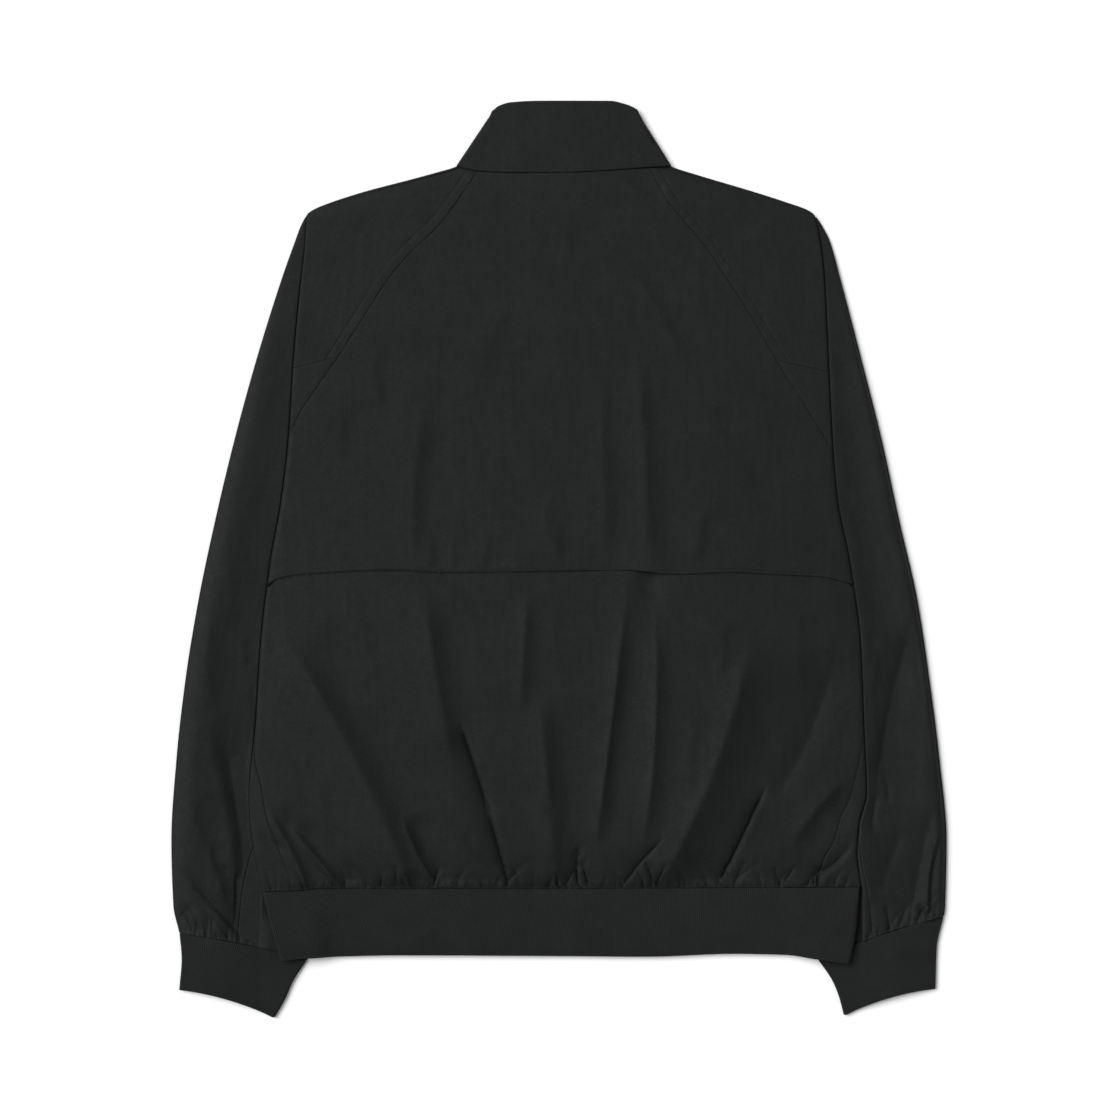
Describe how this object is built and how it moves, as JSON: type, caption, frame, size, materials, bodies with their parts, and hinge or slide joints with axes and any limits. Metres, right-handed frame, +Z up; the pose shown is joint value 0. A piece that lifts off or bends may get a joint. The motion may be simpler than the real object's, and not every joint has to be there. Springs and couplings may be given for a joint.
{
  "type": "harrington jacket",
  "caption": "Black harrington jacket lying flat on its front, back upward, with a vented back yoke, raglan sleeves and rib-knit hem and cuffs.",
  "frame": {"origin": "middle of the footprint, on the surface that the jacket lies on", "axes": "+X to the right seen from above with the collar at the top, +Y from the hem towards the collar, +Z up out of the back"},
  "size_m": [0.6669, 0.788, 0.0169],
  "materials": {
    "shell": "matt black woven cotton with a faint sheen",
    "rib": "matt black fine rib knit",
    "zip_tape": "matt black woven tape",
    "zip_metal": "dark satin metal"
  },
  "bodies": {
    "root": {"back_panel": "shell", "back_yoke": "shell", "front_left": "shell", "front_right": "shell", "sleeve_left_back": "shell", "sleeve_left_front": "shell", "sleeve_right_back": "shell", "sleeve_right_front": "shell", "gusset_left": "shell", "gusset_right": "shell", "collar": "shell", "hem_rib": "rib", "cuff_left": "rib", "cuff_right": "rib", "zip": "zip_tape", "zip_slider": "zip_metal"}
  },
  "joints": []
}
